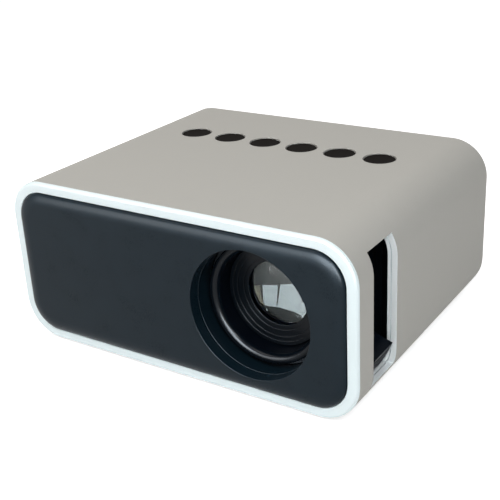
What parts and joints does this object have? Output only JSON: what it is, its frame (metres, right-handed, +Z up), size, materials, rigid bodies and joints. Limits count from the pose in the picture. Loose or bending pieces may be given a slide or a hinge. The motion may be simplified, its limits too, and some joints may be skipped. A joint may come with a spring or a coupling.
{
  "type": "video projector",
  "caption": "Palm-size LED video projector with a rounded sleeve, a recessed lens with a turning focus ring and side paddle, a row of top buttons, rear ports and a cooling fan.",
  "frame": {"origin": "on the surface that the feet stand on, under the middle of the outline's box", "axes": "+X to the right of a viewer who looks at the lens, +Y from the front panel to the rear cover, +Z up"},
  "size_m": [0.132, 0.1062, 0.0594],
  "materials": {
    "grey_shell": "white moulded ABS painted warm grey outside, with a fine even grain",
    "white_frame": "smooth white moulded ABS with a soft sheen",
    "black_panel": "blue-black ABS with a satin sheen",
    "black_plastic": "black moulded plastic, matt",
    "dark_button": "dark brown-black soft keys, matt",
    "rubber": "black rubber",
    "steel": "plated steel",
    "brass": "turned brass",
    "aluminium": "bare aluminium",
    "clear_glass": "polished optical glass",
    "clear_acrylic": "clear acrylic with fine moulded rings",
    "panel_glass": "dark liquid crystal panel in a thin frame",
    "green_board": "green resin circuit board",
    "chip_resin": "black moulded resin",
    "amber_film": "amber polyimide film",
    "paper": "black pressed paper cone"
  },
  "bodies": {
    "housing": {"outer_sleeve": "grey_shell", "front_frame": "white_frame", "front_panel": "black_panel", "rear_cover": "black_plastic", "rear_screw_1": "steel", "rear_screw_2": "steel", "rear_screw_3": "steel", "rear_screw_4": "steel", "chassis_tray": "black_plastic", "foot_front_left": "rubber", "foot_front_right": "rubber", "foot_rear_left": "rubber", "foot_rear_right": "rubber", "tripod_insert": "brass", "key_board": "green_board", "key_switch_1": "chip_resin", "key_switch_2": "chip_resin", "key_switch_3": "chip_resin", "key_switch_4": "chip_resin", "key_switch_5": "chip_resin", "key_switch_6": "chip_resin", "key_board_screw_1": "steel", "key_board_screw_2": "steel", "lens_mount": "black_plastic", "ring_clip": "steel", "engine_trough": "black_plastic", "engine_lid": "black_plastic", "front_fresnel": "clear_acrylic", "lcd_panel": "panel_glass", "rear_fresnel": "clear_acrylic", "condenser_lens": "clear_glass", "led_board": "aluminium", "heat_sink": "aluminium", "fan_frame": "black_plastic", "main_board": "green_board", "video_chip": "chip_resin", "board_capacitor": "aluminium", "hdmi_socket": "steel", "usb_socket": "steel", "card_slot": "steel", "av_socket": "black_plastic", "power_socket": "black_plastic", "lcd_ribbon": "amber_film", "speaker": "steel", "speaker_cone": "paper"},
    "focus_ring": {"focus_ring": "black_plastic"},
    "barrel": {"lens_barrel": "black_plastic", "front_lens": "clear_glass", "middle_lens": "clear_glass", "rear_lens": "clear_glass", "lens_retaining_ring": "black_plastic"},
    "fan_rotor": {"fan_rotor": "black_plastic"},
    "button_1": {"top_button_1": "dark_button"},
    "button_2": {"top_button_2": "dark_button"},
    "button_3": {"top_button_3": "dark_button"},
    "button_4": {"top_button_4": "dark_button"},
    "button_5": {"top_button_5": "dark_button"},
    "button_6": {"top_button_6": "dark_button"}
  },
  "joints": [
    {"name": "focus_turn", "type": "hinge", "parent": "housing", "child": "focus_ring", "pos_m": [0.0302, -0.03905, 0.0302], "axis": [0, -1, 0], "range_deg": [0, 50]},
    {"name": "barrel_slide", "type": "slide", "parent": "housing", "child": "barrel", "axis": [0, -1, 0], "range_m": [0, 0.004]},
    {"name": "fan_spin", "type": "hinge", "parent": "housing", "child": "fan_rotor", "pos_m": [0.0302, 0.0407, 0.0302], "axis": [0, 1, 0], "continuous": true},
    {"name": "button_1_press", "type": "slide", "parent": "housing", "child": "button_1", "axis": [0, 0, -1], "range_m": [0, 0.0005], "stiffness_N_per_m": 1000},
    {"name": "button_2_press", "type": "slide", "parent": "housing", "child": "button_2", "axis": [0, 0, -1], "range_m": [0, 0.0005], "stiffness_N_per_m": 1000},
    {"name": "button_3_press", "type": "slide", "parent": "housing", "child": "button_3", "axis": [0, 0, -1], "range_m": [0, 0.0005], "stiffness_N_per_m": 1000},
    {"name": "button_4_press", "type": "slide", "parent": "housing", "child": "button_4", "axis": [0, 0, -1], "range_m": [0, 0.0005], "stiffness_N_per_m": 1000},
    {"name": "button_5_press", "type": "slide", "parent": "housing", "child": "button_5", "axis": [0, 0, -1], "range_m": [0, 0.0005], "stiffness_N_per_m": 1000},
    {"name": "button_6_press", "type": "slide", "parent": "housing", "child": "button_6", "axis": [0, 0, -1], "range_m": [0, 0.0005], "stiffness_N_per_m": 1000}
  ],
  "couplings": [
    {"joint": "barrel_slide", "follows": "focus_turn", "m_per_rad": 0.00458}
  ]
}
